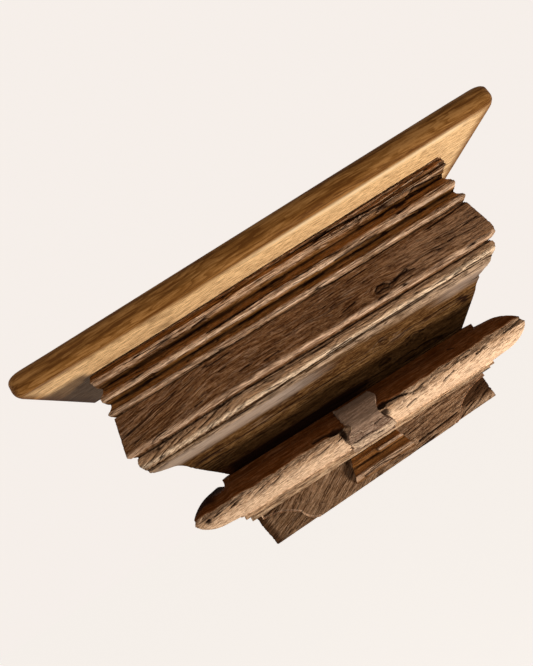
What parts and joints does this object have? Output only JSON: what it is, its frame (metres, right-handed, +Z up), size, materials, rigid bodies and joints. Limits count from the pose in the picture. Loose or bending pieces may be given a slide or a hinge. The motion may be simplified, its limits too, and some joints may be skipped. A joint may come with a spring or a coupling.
{
  "type": "wall shelf",
  "caption": "Wall shelf with a round-edged board on a stepped stack of old carved moulding: ridges, fascia, beads, deep cove, half round and a small base.",
  "frame": {"origin": "on the wall plane, midway along the shelf and midway between the two wall pin holes", "axes": "+X along the shelf to the right as seen from the room, +Y into the wall, +Z up"},
  "size_m": [0.6, 0.19, 0.311],
  "materials": {
    "board_wood": "satin oiled hardwood, mid brown with a pale gold lower edge",
    "crown_wood": "dry weathered old wood, pale worn edges and dark hollows",
    "fascia_wood": "dry weathered old wood, dark brown with a knot and pale chipped lip",
    "bead_wood": "dry weathered old wood, pale worn bead",
    "cove_wood": "dark weathered wood with a pale grey worn underside",
    "torus_wood": "dark reddish-brown wood, worn to pale fibre along its lower front",
    "slat_wood": "dry split wood, pale edges",
    "base_wood": "rough dry grey-brown wood",
    "apron_wood": "rough dry grey-brown wood with a pale worn edge",
    "strap_wood": "smooth dry grey-brown wood",
    "tongue_wood": "dry weathered carved wood with pale worn lips",
    "plug_wood": "satin oiled hardwood",
    "dowel_wood": "plain turned hardwood",
    "plate_steel": "dull zinc-plated steel",
    "screw_steel": "dull zinc-plated steel"
  },
  "bodies": {
    "root": {"shelf_board": "board_wood", "crown_block": "crown_wood", "fascia_block": "fascia_wood", "bead_block": "bead_wood", "cove_block": "cove_wood", "torus_block": "torus_wood", "upper_slat": "slat_wood", "lower_slat": "slat_wood", "base_block": "base_wood", "base_apron": "apron_wood", "centre_strap": "strap_wood", "centre_tongue": "tongue_wood", "board_screws": "screw_steel", "board_plugs": "plug_wood", "crown_dowels": "dowel_wood", "bead_dowels": "dowel_wood", "cove_dowels": "dowel_wood", "base_dowels": "dowel_wood", "apron_pegs": "dowel_wood", "strap_pegs": "dowel_wood", "tongue_pegs": "dowel_wood", "tie_plate_left": "plate_steel", "tie_plate_right": "plate_steel", "tie_screws": "screw_steel"}
  },
  "joints": []
}
